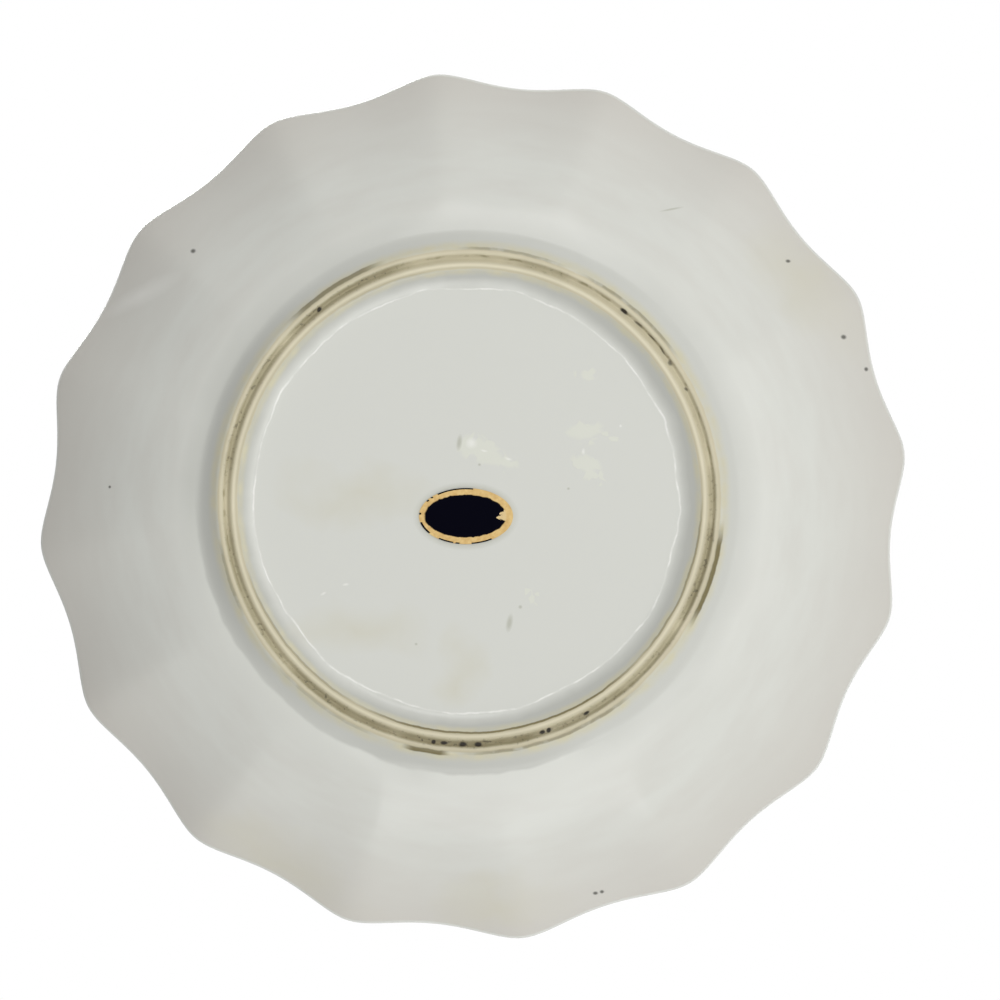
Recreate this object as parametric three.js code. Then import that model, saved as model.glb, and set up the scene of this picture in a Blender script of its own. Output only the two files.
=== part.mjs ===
// A scalloped dessert plate: a porcelain body on a double-ridged foot ring, with a small oval foil
// label stuck inside the foot. Millimetres, +Z up: the foot stands on z = 0 and a tip lies on +X.
import * as THREE from "three";

const { degToRad, clamp, lerp } = THREE.MathUtils;

// Plate body
const PLATE_DIAMETER = 190; // across opposite scallop tips
const PLATE_HEIGHT = 21; // table to the top of a scallop tip
const WELL_DIAMETER = 100; // flat part of the eating face
const BODY_THICKNESS = 4.2; // in the well, above the foot recess
const LIP_THICKNESS = 2.8; // rounded edge of the rim
const LIP_SLOPE = degToRad(31); // slope of the flank where it meets the lip

// Scallops: panels that draw in between ridged tips
const SCALLOP_COUNT = 16;
const SCALLOP_DEPTH = 3.1; // how far the middle of a panel draws in from the tips
const SCALLOP_SPREAD = 0.8; // how the panels deepen up the flank, where 1 is evenly and 2 is late
const LIP_SOFTNESS = 0.4; // rounding of the tips at the lip, where 0 is a sharp cusp
const CREASE_SOFTNESS = 0.06; // rounding of the creases that run down the flank from the tips

// Foot ring: two ridges with a groove between them, around a flat recess
const FOOT_DIAMETER = 107.6; // over the outer ridge's shoulder
const FOOT_WIDTH = 5; // both ridges and the groove
const FOOT_SLOPE = degToRad(30); // of the foot's straight sides
const RIDGE_LAND = 0.5; // flat of each ridge, on the table
const RIDGE_ROUND = 0.9; // width of each ridge's rounded shoulder
const GROOVE_DEPTH = 0.7;
const RECESS_DEPTH = 2.2; // table to the recess floor
const UNDERSIDE_HEIGHT = 2.7; // table to the body just outside the foot

// Oval label, stuck to the recess floor a little off the axis
const LABEL_LENGTH = 20;
const LABEL_WIDTH = 11.9;
const LABEL_THICKNESS = 0.15;
const LABEL_OFFSET_X = -1;
const LABEL_OFFSET_Y = 3.25;
const LABEL_TURN = degToRad(6);

// Facets
const STEPS_PER_SCALLOP = 8;
const FLANK_STEPS = 6;
const LIP_STEPS = 6;
const SHOULDER_STEPS = 2;
const LABEL_STEPS = 24;

// Radii and heights that follow from the sizes above
const wellRadius = WELL_DIAMETER / 2;
const wellHeight = RECESS_DEPTH + BODY_THICKNESS;
const footRadius = FOOT_DIAMETER / 2;
const footInnerRadius = footRadius - FOOT_WIDTH;
const recessRadius = footInnerRadius - sideRun(RECESS_DEPTH);
const flankRadius = footRadius + sideRun(UNDERSIDE_HEIGHT);

// The lip is a half round square to the flank. It meets the underside and the face at these two edges.
const lipRadius = LIP_THICKNESS / 2;
const lipCentre = point(PLATE_DIAMETER / 2 - lipRadius, PLATE_HEIGHT - lipRadius);
const lipAcross = point(Math.sin(LIP_SLOPE), -Math.cos(LIP_SLOPE)).multiplyScalar(lipRadius);
const undersideEdge = lipCentre.clone().add(lipAcross);
const faceEdge = lipCentre.clone().sub(lipAcross);

// A point of the half section: x is its distance from the axis and y its height.
function point(radius, height) {
  return new THREE.Vector2(radius, height);
}

// Points along an ellipse, both ends included, the short way from one angle to the other.
function arc(centre, radiusX, radiusY, fromAngle, toAngle, steps) {
  const clockwise = toAngle < fromAngle;
  const curve = new THREE.EllipseCurve(centre.x, centre.y, radiusX, radiusY, fromAngle, toAngle, clockwise);
  return curve.getPoints(steps);
}

// A flank leaves its start level and steepens to LIP_SLOPE at its end.
function flank(start, end) {
  const run = end.x - start.x;
  const rise = end.y - start.y;
  const power = (Math.tan(LIP_SLOPE) * run) / rise;
  return Array.from({ length: FLANK_STEPS + 1 }, (_, step) => {
    const t = step / FLANK_STEPS;
    return point(start.x + run * t, start.y + rise * t ** power);
  });
}

// How far a side of the foot runs, from the shoulder that it rises from up to a height.
function sideRun(height) {
  const shoulderHeight = RIDGE_ROUND * Math.tan(FOOT_SLOPE / 2);
  return (height - shoulderHeight) / Math.tan(FOOT_SLOPE);
}

// The rounded shoulder between a side of the foot and the land beside it, from the side down.
// `outward` is 1 on the outer side and -1 on the inner one.
function shoulder(sideRadius, outward) {
  const quarter = Math.PI / 2;
  const bend = RIDGE_ROUND / Math.sin(FOOT_SLOPE);
  const centre = point(sideRadius - outward * RIDGE_ROUND, bend);
  return arc(centre, outward * bend, bend, FOOT_SLOPE - quarter, -quarter, SHOULDER_STEPS);
}

// The foot from its inner side to its outer side.
function footSection() {
  const landEnd = RIDGE_ROUND + RIDGE_LAND;
  return [
    ...shoulder(footInnerRadius, -1),
    point(footInnerRadius + landEnd, 0),
    point(footRadius - FOOT_WIDTH / 2, GROOVE_DEPTH),
    point(footRadius - landEnd, 0),
    ...shoulder(footRadius, 1).reverse(),
  ];
}

// The whole half section: from the axis in the recess, under the foot, round the lip, back over the face.
function plateSection() {
  const quarter = Math.PI / 2;
  const underside = flank(point(flankRadius, UNDERSIDE_HEIGHT), undersideEdge);
  const lip = arc(lipCentre, lipRadius, lipRadius, LIP_SLOPE - quarter, LIP_SLOPE + quarter, LIP_STEPS);
  const face = flank(point(wellRadius, wellHeight), faceEdge).reverse();
  return [
    point(0, RECESS_DEPTH),
    point(recessRadius, RECESS_DEPTH),
    ...footSection(),
    ...underside,
    ...lip.slice(1, -1),
    ...face,
    point(0, wellHeight),
  ];
}

// 0 at a tip and 1 in the middle of a panel, with the tips rounded.
function scallopWave(angle, softness) {
  const swing = Math.sin((SCALLOP_COUNT * angle) / 2);
  const full = Math.hypot(1, softness) - softness;
  return (Math.hypot(swing, softness) - softness) / full;
}

// How far up the flank a radius lies: 0 as far as the flank's start, and 1 from the lip on.
function flankShare(radius) {
  return clamp((radius - flankRadius) / (faceEdge.x - flankRadius), 0, 1);
}

// Draws each point of the turned body in by the panel that it lies in.
function scallop(geometry) {
  const points = geometry.getAttribute("position");
  const place = new THREE.Vector3();
  for (let i = 0; i < points.count; i++) {
    place.fromBufferAttribute(points, i);
    const radius = Math.hypot(place.x, place.y);
    const share = flankShare(radius);
    const softness = lerp(CREASE_SOFTNESS, LIP_SOFTNESS, share ** 3);
    const depth = scallopWave(Math.atan2(place.y, place.x), softness) * share ** SCALLOP_SPREAD;
    const inward = depth > 0 ? (depth * SCALLOP_DEPTH) / radius : 0;
    points.setXYZ(i, place.x * (1 - inward), place.y * (1 - inward), place.z);
  }
  return geometry;
}

function plateBody() {
  const turned = new THREE.LatheGeometry(plateSection(), SCALLOP_COUNT * STEPS_PER_SCALLOP);
  turned.rotateX(Math.PI / 2);
  const glaze = new THREE.MeshStandardMaterial({ color: 0xdedfda, roughness: 0.15, metalness: 0 });
  const mesh = new THREE.Mesh(scallop(turned), glaze);
  mesh.name = "plate_body";
  return mesh;
}

function foilLabel() {
  const oval = new THREE.Shape().absellipse(0, 0, LABEL_LENGTH / 2, LABEL_WIDTH / 2, 0, 2 * Math.PI);
  const cut = { depth: LABEL_THICKNESS, bevelEnabled: false, curveSegments: LABEL_STEPS };
  const foil = new THREE.MeshStandardMaterial({ color: 0xd9b066, roughness: 0.35, metalness: 0.8 });
  const mesh = new THREE.Mesh(new THREE.ExtrudeGeometry(oval, cut), foil);
  mesh.name = "foil_label";
  mesh.position.set(LABEL_OFFSET_X, LABEL_OFFSET_Y, RECESS_DEPTH - LABEL_THICKNESS);
  mesh.rotation.z = LABEL_TURN;
  return mesh;
}

const plate = new THREE.Group();
plate.name = "scalloped_plate";
plate.add(plateBody(), foilLabel());

export default plate;
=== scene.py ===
"""Dresses the solid model of a scalloped porcelain plate: the fine glazed body with its bare foot ring, the
worn foil label inside the foot, and a plain stage, seen from below because the underside is in view."""

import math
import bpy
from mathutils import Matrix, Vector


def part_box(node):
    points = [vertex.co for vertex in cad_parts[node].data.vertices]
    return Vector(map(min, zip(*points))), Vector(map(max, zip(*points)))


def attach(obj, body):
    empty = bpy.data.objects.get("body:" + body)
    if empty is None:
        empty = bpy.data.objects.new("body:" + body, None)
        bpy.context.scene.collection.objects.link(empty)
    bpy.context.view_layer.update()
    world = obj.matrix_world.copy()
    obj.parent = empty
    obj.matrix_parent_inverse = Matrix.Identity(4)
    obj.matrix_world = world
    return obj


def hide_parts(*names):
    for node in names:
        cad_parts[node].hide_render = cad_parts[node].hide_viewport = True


bl_info = {
    "name": "Scalloped Plate",
    "version": (1, 0, 0),
    "blender": (4, 5, 0),
    "location": "View3D > Sidebar > Plate",
    "description": "Builds a glazed scalloped plate, its foil label and a stage to show it on",
    "category": "Add Mesh",
}

from functools import partial
from types import SimpleNamespace

import bmesh
import bpy
from bpy.props import FloatProperty, FloatVectorProperty, IntProperty, PointerProperty
from mathutils import Matrix, Vector

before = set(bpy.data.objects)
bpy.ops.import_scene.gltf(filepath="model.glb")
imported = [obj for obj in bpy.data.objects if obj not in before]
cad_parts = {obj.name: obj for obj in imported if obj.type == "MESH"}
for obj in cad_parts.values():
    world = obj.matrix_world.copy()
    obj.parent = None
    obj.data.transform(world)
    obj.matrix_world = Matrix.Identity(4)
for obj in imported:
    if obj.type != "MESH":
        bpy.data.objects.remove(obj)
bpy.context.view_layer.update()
BODY_LOW, BODY_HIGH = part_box("plate_body")
LABEL_LOW, LABEL_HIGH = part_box("foil_label")
LABEL_MIDDLE = (LABEL_LOW + LABEL_HIGH) / 2

MM = 0.001


def linear(hex_colour):
    """An sRGB hex colour as linear red, green, blue and alpha."""
    channels = [int(hex_colour[i:i + 2], 16) / 255 for i in (1, 3, 5)]
    return tuple(c / 12.92 if c <= 0.04045 else ((c + 0.055) / 1.055) ** 2.4 for c in channels) + (1.0,)


def length(name, description, millimetres):
    """A length property with its default in millimetres."""
    return FloatProperty(name=name, description=description, default=millimetres * MM, min=0.0, precision=5,
                         unit="LENGTH")


def angle(name, description, degrees):
    """An angle property with its default in degrees."""
    return FloatProperty(name=name, description=description, default=math.radians(degrees), subtype="ANGLE")


def number(name, description, default, least=0.0):
    """A property that is a plain number."""
    return FloatProperty(name=name, description=description, default=default, min=least)


def factor(name, description, default):
    """A property that is a share of something, where 0 is none of it."""
    return FloatProperty(name=name, description=description, default=default, min=0.0, subtype="FACTOR")


def colour(name, description, hex_colour):
    """A colour property with its default as an sRGB hex value."""
    return FloatVectorProperty(name=name, description=description, default=linear(hex_colour), size=4,
                               min=0.0, max=1.0, subtype="COLOR")


class PlateSizes(bpy.types.PropertyGroup):
    """Sizes of the porcelain body, as in the solid model."""

    diameter: length("Diameter", "Across opposite scallop tips", (BODY_HIGH.x - BODY_LOW.x) / MM)
    height: length("Height", "Table to the top of a scallop tip", (BODY_HIGH.z - BODY_LOW.z) / MM)
    well_diameter: length("Well Diameter", "Flat part of the eating face", 100.0)
    body_thickness: length("Body Thickness", "In the well, above the foot recess", 4.2)
    lip_thickness: length("Lip Thickness", "Rounded edge of the rim", 2.8)
    lip_slope: angle("Lip Slope", "Slope of the flank where it meets the lip", 31)
    scallops: IntProperty(name="Scallops", description="Number of tips round the rim", default=16, min=3)
    scallop_depth: length("Scallop Depth", "How far the middle of a panel draws in from the tips", 3.1)
    scallop_spread: number("Scallop Spread", "How the panels deepen up the flank, 1 is evenly, 2 is late",
                           0.8, 0.1)
    lip_softness: factor("Lip Softness", "Rounding of the tips at the lip, 0 is a cusp", 0.4)
    crease_softness: factor("Crease Softness", "Rounding of the creases down the flank", 0.06)
    firing_warp: factor("Firing Warp", "How far the rim went out of true, 1 is as fired", 1.0)
    foot_diameter: length("Foot Diameter", "Over the outer ridge's shoulder", 107.6)
    foot_width: length("Foot Width", "Both ridges and the groove between them", 5.0)
    foot_slope: angle("Foot Slope", "Mean slope of the foot's sides", 30)
    foot_cove: number("Foot Cove", "How the foot's sides bend, 1 is straight, 2 is a full cove", 1.4, 1.0)
    ridge_land: length("Ridge Land", "Flat of each ridge, on the table", 0.5)
    ridge_round: length("Ridge Round", "Width of each ridge's rounded shoulder", 0.9)
    groove_depth: length("Groove Depth", "Depth of the groove between the ridges", 0.7)
    recess_depth: length("Recess Depth", "Table to the recess floor", LABEL_HIGH.z / MM)
    recess_drift: FloatVectorProperty(name="Recess Drift", subtype="TRANSLATION", unit="LENGTH",
                                      description="How far the recess floor lies off the axis",
                                      default=(-0.65 * MM, -0.2 * MM, 0.0))
    underside_height: length("Underside Height", "Table to the body just outside the foot", 2.7)
    steps_around: IntProperty(name="Steps Around", description="Facets round the axis", default=480, min=48)


class LabelSizes(bpy.types.PropertyGroup):
    """Sizes of the oval foil label."""

    length: length("Length", "Long axis of the oval", 20.0)
    width: length("Width", "Short axis of the oval", 11.9)
    thickness: length("Thickness", "Foil and paper together", (LABEL_HIGH.z - LABEL_LOW.z) / MM)
    field_length: length("Field Length", "Long axis of the dark oval", 17.4)
    field_width: length("Field Width", "Short axis of the dark oval", 9.1)
    turn: angle("Turn", "Long axis from the nearest scallop tip", 6)


class PlateColours(bpy.types.PropertyGroup):
    """Colours of the glaze, the bare foot and the label."""

    glaze: colour("Glaze", "Clear glaze over white porcelain", "#D9DAD3")
    # Darker and yellower towards the rim; this colour also draws the wheel marks
    rim: colour("Rim", "Thinner, yellower glaze towards the rim", "#CDCAC2")
    # Painted highlight: the pale line in the recess corner, the streak along a flute and the glints
    corner: colour("Corner Line", "Glaze that has pooled pale in the corner of the recess", "#F4F4EF")
    # Painted shade: this colour darkens the foot's sides and the hollow outside the foot
    pool: colour("Pooled Glaze", "Thicker, greyer glaze on the foot's sides", "#B6B7B0")
    clay: colour("Bare Clay", "Unglazed, handled porcelain of the foot", "#C8C0A4")
    # Partly rubbed pale, partly a painted highlight along the crests of the foot
    crest: colour("Ridge Crest", "Clay rubbed pale along the crests of the foot", "#E3DCC2")
    halo: colour("Halo", "Yellowed glaze beside the foot", "#CFCAAE")
    grime: colour("Grime", "Grime rubbed into the groove", "#746A44")
    soot: colour("Soot", "Black dirt in pores of the groove", "#1C160A")
    stain: colour("Stain", "Old yellowing under the glaze", "#CFCBB4")
    residue: colour("Residue", "Dried glue left on the recess floor", "#E2E4D5")
    # Also draws a painted shadow beside the glue and, with dirt, round the label
    smear: colour("Smear", "Grey dirt at the edges of the dried glue", "#BEBFB2")
    speck: colour("Speck", "Iron specks in the body", "#45443C")
    gold: colour("Gold Foil", "Foil of the label", "#D2B67E")
    tarnish: colour("Tarnish", "Deeper gold in the foil's mottling", "#C4A36A")
    rubbed: colour("Rubbed Foil", "Foil rubbed pale where the lacquer has gone", "#CFBC93")
    lacquer: colour("Lacquer", "Dark field of the label", "#04040F")


class StageSettings(bpy.types.PropertyGroup):
    """Camera, lamps and floor."""

    view_distance: length("View Distance", "Camera to the rim", 600.0)
    view_width: length("View Width", "Width of the picture at the rim", 218.45)
    lamp_distance: length("Lamp Distance", "Lamps to the plate", 1000.0)
    floor_size: length("Floor Size", "Across the floor, which fades out towards its edge", 3000.0)
    floor: colour("Floor", "Pale matt floor", "#F2F2F0")
    ambient_above: number("Ambient Above", "Soft light from the room", 0.4)
    ambient_below: number("Ambient Below", "Soft light under the plate", 0.02)


class PlateSettings(bpy.types.PropertyGroup):
    """Everything a user would change."""

    sizes: PointerProperty(type=PlateSizes)
    label: PointerProperty(type=LabelSizes)
    colours: PointerProperty(type=PlateColours)
    stage: PointerProperty(type=StageSettings)


# The kinds of node that are used most
MATH = "ShaderNodeMath"
VECTOR = "ShaderNodeVectorMath"
RANGE = "ShaderNodeMapRange"  # takes a value, where it starts and ends, and what it becomes at each
MIX = "ShaderNodeMix"  # takes numbers in its inputs 2 and 3, and colours in 6 and 7
NOISE = "ShaderNodeTexNoise"


def add_node(tree, kind, links=(), operation=None, **settings):
    """Adds a node with its settings. Links gives its inputs in order, or by name or number. Each takes a
    value, an output of another node, or a node, which stands for the first of its outputs in use."""
    node = tree.nodes.new(kind)
    if operation:
        node.operation = operation
    for name, value in settings.items():
        setattr(node, name, value)
    for key, value in links.items() if isinstance(links, dict) else enumerate(links):
        if isinstance(value, bpy.types.Node):
            value = next(output for output in value.outputs if output.enabled)
        if isinstance(value, bpy.types.NodeSocket):
            tree.links.new(value, node.inputs[key])
        else:
            node.inputs[key].default_value = value
    return node


def strongest(add, masks):
    """The strongest of several masks at each place."""
    top, *others = masks
    for mask in others:
        top = add(MATH, (mask, top), "MAXIMUM")
    return top


def new_material(name):
    """A material with no nodes yet, and the function that adds nodes to it."""
    material = bpy.data.materials.new(name)
    material.use_nodes = True
    material.node_tree.nodes.clear()
    return material, partial(add_node, material.node_tree)


def picture_axes(settings):
    """Turns the picture's axes, right, down and away from the camera, into the plate's."""
    return Matrix.Rotation(settings.label.turn, 3, "Z")


def finish_piece(piece, node):
    """Hands a finished piece over: it moves with the plate and stands for its solid."""
    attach(piece, "root")
    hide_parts(node)


# Plate body

FLANK_STEPS = 44
LIP_STEPS = 18
SIDE_STEPS = 12
SHOULDER_STEPS = 6
GROOVE_STEPS = 14
FLAT_STEPS = 6
GROOVE_LEAN = 1.35  # the groove is deepest nearer the outer ridge
FLOOR_EDGE = 0.4 * MM  # from the last ring of facets on the recess floor to the floor's corner
SEAM_GAP = 0.001 * MM  # points closer than this are one
SOFTENING = 3.0  # how late the creases turn into the rounder tips of the lip

# How far the rim and its tips went out of true in firing: lobes, size and degrees of a peak
RIM_WARP = ((2, 0.22 * MM, -39.0), (3, 0.3 * MM, -39.0), (4, 0.23 * MM, -22.0))
TIP_DRIFT = ((1, math.radians(-0.97), -118.0), (2, math.radians(-0.68), -51.0))

PLATE_INPUTS = {
    "NodeSocketGeometry": ("Section",),
    "NodeSocketInt": ("Steps Around", "Underside Points", "Scallops"),
    "NodeSocketFloat": ("Scallop Depth", "Scallop Spread", "Lip Softness", "Crease Softness", "Flank Radius",
                        "Lip Radius", "Recess Radius", "Foot Inner Radius", "Firing Warp"),
    "NodeSocketVector": ("Recess Drift",),
    "NodeSocketMaterial": ("Glaze",),
}


def arc(centre, radius, start, end, steps):
    """Points along a circle, both ends included."""
    angles = [start + (end - start) * i / steps for i in range(steps + 1)]
    return [(centre[0] + radius * math.cos(a), centre[1] + radius * math.sin(a)) for a in angles]


def bow(start, end, power, steps):
    """Points along a power curve, both ends included: straight at 1, and leaving its start level above 1."""
    run = end[0] - start[0]
    rise = end[1] - start[1]
    shares = [i / steps for i in range(steps + 1)]
    return [(start[0] + run * t, start[1] + rise * t ** power) for t in shares]


def flank(start, end, slope):
    """Points of a flank that leaves its start level and steepens to a slope at its end."""
    power = math.tan(slope) * (end[0] - start[0]) / (end[1] - start[1])
    return bow(start, end, power, FLANK_STEPS)


def side_run(sizes, height):
    """How far a side of the foot runs, from the shoulder that it rises from up to a height."""
    shoulder_height = sizes.ridge_round * math.tan(sizes.foot_slope / 2)
    return (height - shoulder_height) / math.tan(sizes.foot_slope)


def foot_section(sizes):
    """The foot from its inner side to its outer side: shoulder, land, groove, land, shoulder."""
    level = -math.pi / 2
    outer = sizes.foot_diameter / 2
    inner = outer - sizes.foot_width
    bend = sizes.ridge_round / math.sin(sizes.foot_slope)
    land_end = sizes.ridge_round + sizes.ridge_land
    groove_width = sizes.foot_width - 2 * land_end
    groove = []
    for i in range(GROOVE_STEPS + 1):
        share = i / GROOVE_STEPS
        depth = math.sin(math.pi * share ** GROOVE_LEAN) ** 2
        groove.append((inner + land_end + groove_width * share, sizes.groove_depth * depth))
    return [
        *arc((inner + sizes.ridge_round, bend), bend, level - sizes.foot_slope, level, SHOULDER_STEPS),
        *groove,
        *arc((outer - sizes.ridge_round, bend), bend, level, level + sizes.foot_slope, SHOULDER_STEPS),
    ]


def lip_centre(sizes):
    """Centre of the half round that makes the lip."""
    return sizes.diameter / 2 - sizes.lip_thickness / 2, sizes.height - sizes.lip_thickness / 2


def plate_section(sizes):
    """The half section under the plate, round the lip and over the face, and how many points lie under."""
    quarter = math.pi / 2
    slope = sizes.lip_slope
    foot = foot_section(sizes)
    recess_edge = (foot[0][0] - side_run(sizes, sizes.recess_depth), sizes.recess_depth)
    body_edge = (foot[-1][0] + side_run(sizes, sizes.underside_height), sizes.underside_height)
    lip = arc(lip_centre(sizes), sizes.lip_thickness / 2, slope - quarter, slope + quarter, LIP_STEPS)
    well_height = sizes.recess_depth + sizes.body_thickness
    well_edge = (sizes.well_diameter / 2, well_height)
    floor_end = (recess_edge[0] - FLOOR_EDGE, sizes.recess_depth)
    underside = [
        *bow((0.0, sizes.recess_depth), floor_end, 1.0, FLAT_STEPS),
        *bow(recess_edge, foot[0], sizes.foot_cove, SIDE_STEPS)[:-1],
        *foot,
        *bow(body_edge, foot[-1], sizes.foot_cove, SIDE_STEPS)[-2:0:-1],
        *flank(body_edge, lip[0], slope),
    ]
    face = [
        *bow((0.0, well_height), well_edge, 1.0, FLAT_STEPS)[:-1],
        *flank(well_edge, lip[-1], slope),
    ]
    return underside + lip[1:-1] + face[::-1], len(underside)


def swell(add, angle, lobes):
    """Sum of slow waves round the axis, each with its number of lobes, its size and the place of a peak."""
    total = 0.0
    for count, size, peak in lobes:
        turned = add(MATH, (angle, math.radians(peak)), "SUBTRACT")
        phase = add(MATH, (turned, count), "MULTIPLY")
        lobe = add(MATH, (phase,), "COSINE")
        total = add(MATH, (lobe, size, total), "MULTIPLY_ADD")
    return total


def scallop_wave(add, angle, softness, given):
    """0 at a tip and 1 in the middle of a panel, with the tips rounded."""
    drift = swell(add, angle, TIP_DRIFT)
    drifted = add(MATH, (drift, given["Firing Warp"], angle), "MULTIPLY_ADD")
    swings = add(MATH, (drifted, given["Scallops"]), "MULTIPLY")
    half = add(MATH, (swings, 0.5), "MULTIPLY")
    swing = add(MATH, (half,), "SINE")
    soft_square = add(MATH, (softness, softness), "MULTIPLY")
    square = add(MATH, (swing, swing, soft_square), "MULTIPLY_ADD")
    rounded = add(MATH, (square,), "SQRT")
    rise = add(MATH, (rounded, softness), "SUBTRACT")
    full_square = add(MATH, (soft_square, 1.0), "ADD")
    full_root = add(MATH, (full_square,), "SQRT")
    full = add(MATH, (full_root, softness), "SUBTRACT")
    return add(MATH, (rise, full), "DIVIDE")


def plate_tree():
    """Geometry nodes that turn a half section round the axis and draw it in between the scallop tips."""
    tree = bpy.data.node_groups.new("scalloped_plate", "GeometryNodeTree")
    names = {}
    for kind, titles in PLATE_INPUTS.items():
        for title in titles:
            names[title] = tree.interface.new_socket(title, in_out="INPUT", socket_type=kind).identifier
    tree.interface.new_socket("Plate", in_out="OUTPUT", socket_type="NodeSocketGeometry")
    add = partial(add_node, tree)
    given = add("NodeGroupInput").outputs

    # A grid whose columns go round the axis and whose rows follow the section
    rows = add("GeometryNodeAttributeDomainSize", {"Geometry": given["Section"]}).outputs["Point Count"]
    columns = add(MATH, (given["Steps Around"], 1.0), "ADD")
    grid = add("GeometryNodeMeshGrid", {"Vertices X": columns, "Vertices Y": rows})
    index = add("GeometryNodeInputIndex")
    share = add(MATH, (index, rows), "DIVIDE")
    column = add(MATH, (share,), "FLOOR")
    row = add(MATH, (index, rows), "FLOORED_MODULO")
    turn = add(MATH, (column, given["Steps Around"]), "DIVIDE")
    angle = add(MATH, (turn, 2 * math.pi), "MULTIPLY")
    place = add("GeometryNodeInputPosition")
    point = add("GeometryNodeSampleIndex", {"Geometry": given["Section"], "Value": place, "Index": row},
                data_type="FLOAT_VECTOR")
    section = add("ShaderNodeSeparateXYZ", (point,)).outputs
    radius, height = section["X"], section["Z"]

    # How far up the flank each point lies, and how round the tips are there
    reach = add(RANGE, (radius, given["Flank Radius"], given["Lip Radius"]))
    late = add(MATH, (reach, SOFTENING), "POWER")
    soft = add(RANGE, (late, 0.0, 1.0, given["Crease Softness"], given["Lip Softness"]))

    # The panels draw in from nothing at the flank's start to their full depth at the lip
    wave = scallop_wave(add, angle, soft, given)
    grown = add(MATH, (reach, given["Scallop Spread"]), "POWER")
    depth = add(MATH, (wave, grown), "MULTIPLY")
    inward = add(MATH, (depth, given["Scallop Depth"]), "MULTIPLY")
    warp = add(MATH, (swell(add, angle, RIM_WARP), given["Firing Warp"]), "MULTIPLY")
    warped = add(MATH, (warp, reach, radius), "MULTIPLY_ADD")
    drawn = add(MATH, (warped, inward), "SUBTRACT")

    # The recess floor lies a little off the axis
    away = add(RANGE, (radius, given["Foot Inner Radius"], given["Recess Radius"]))
    drift = add(VECTOR, {0: given["Recess Drift"], "Scale": away}, "SCALE")
    cosine = add(MATH, (angle,), "COSINE")
    sine = add(MATH, (angle,), "SINE")
    along_x = add(MATH, (drawn, cosine), "MULTIPLY")
    along_y = add(MATH, (drawn, sine), "MULTIPLY")
    turned = add("ShaderNodeCombineXYZ", {"X": along_x, "Y": along_y, "Z": height})
    shifted = add(VECTOR, (turned, drift), "ADD")

    # The underside is marked for the glaze, and the seam and the two poles are closed
    below = add(MATH, (row, given["Underside Points"]), "LESS_THAN")
    marked = add("GeometryNodeStoreNamedAttribute", {"Geometry": grid, "Name": "underside", "Value": below},
                 data_type="FLOAT", domain="POINT")
    moved = add("GeometryNodeSetPosition", {"Geometry": marked, "Position": shifted})
    closed = add("GeometryNodeMergeByDistance", {"Geometry": moved, "Distance": SEAM_GAP})
    smooth = add("GeometryNodeSetShadeSmooth", {"Geometry": closed})
    real = add("GeometryNodeRealizeInstances", {"Geometry": smooth})
    glazed = add("GeometryNodeSetMaterial", {"Geometry": real, "Material": given["Glaze"]})
    add("NodeGroupOutput", {"Plate": glazed})
    return tree, names


# Glaze, clay and dirt

# Glaze, marks of use and painted light on the underside, in millimetres in the picture's axes, right and
# down from the foot's centre: each has its middle, its half length, its half width and its turn in degrees
# Where the painted shade beside the foot has a crisp edge, and where it is deeper
CRISP_SHADE_PLACES = ((-45.0, 42.0, 55.0, 34.0, 45.0), (8.0, 57.0, 26.0, 12.0, 0.0))
DEEP_SHADE_PLACES = ((-56.0, -8.0, 30.0, 54.0, 0.0), (-2.0, 58.0, 34.0, 14.0, 0.0))
# A painted highlight down the middle of one flute on the flank
FLUTE_HIGHLIGHTS = ((-72.0, -45.2, 11.0, 2.6, -24.0),)
POROUS_DOTS = (
    (-7.4, 51.0, 0.6, 0.5, 0.0), (-5.2, 51.3, 0.9, 0.5, 0.0), (-1.1, 51.6, 1.1, 0.65, 0.0),
    (2.1, 51.5, 0.9, 0.55, 0.0), (15.6, 49.1, 0.8, 0.5, -20.0), (17.0, 48.6, 0.7, 0.5, -20.0),
    (24.9, 45.0, 0.8, 0.45, -28.0), (33.0, -39.9, 1.2, 0.4, 40.0), (-32.0, -40.4, 0.8, 0.5, -50.0),
)
FAINT_DOTS = (
    (35.9, -37.3, 1.5, 0.3, 43.0), (38.7, -34.4, 1.5, 0.25, 48.0), (41.0, -31.6, 1.6, 0.3, 52.0),
    (42.6, -29.1, 0.8, 0.6, 55.0), (46.0, -23.5, 0.8, 0.4, 62.0),
)
STAINS = (
    (-23.5, 27.6, 15.0, 8.0, 0.0), (-2.9, 36.0, 7.0, 9.0, 0.0), (-23.6, -1.2, 17.0, 7.5, 0.0),
    (72.0, -48.0, 20.0, 11.0, 55.0), (-41.0, 79.0, 24.0, 8.0, 25.0), (4.0, 87.0, 18.0, 7.0, 0.0),
)
RESIDUES = (
    (0.6, -11.4, 3.2, 2.7, 0.0), (3.8, -10.1, 4.8, 2.5, 16.0), (7.4, -8.2, 3.0, 1.6, 28.0),
    (24.8, -7.6, 3.4, 2.4, 30.0), (27.0, -5.0, 1.9, 0.8, 35.0), (24.6, -14.6, 4.4, 2.4, -10.0),
    (29.9, -13.9, 1.6, 0.6, 5.0), (25.1, -26.8, 2.4, 1.5, 15.0), (13.4, 20.3, 0.8, 2.1, -12.0),
)
# Painted highlights: glints on the dried glue and on small bumps in the recess
GLINTS = (
    (0.6, -12.2, 1.5, 1.3, 0.0), (3.2, -10.6, 0.9, 0.35, 10.0), (8.4, -8.8, 0.9, 0.35, 10.0),
    (24.3, -10.3, 0.45, 0.9, 0.0), (32.2, -15.9, 0.4, 0.4, 0.0), (-26.1, 17.8, 0.9, 0.4, -10.0),
    (-31.0, 19.9, 0.8, 0.3, -28.0),
)
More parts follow.
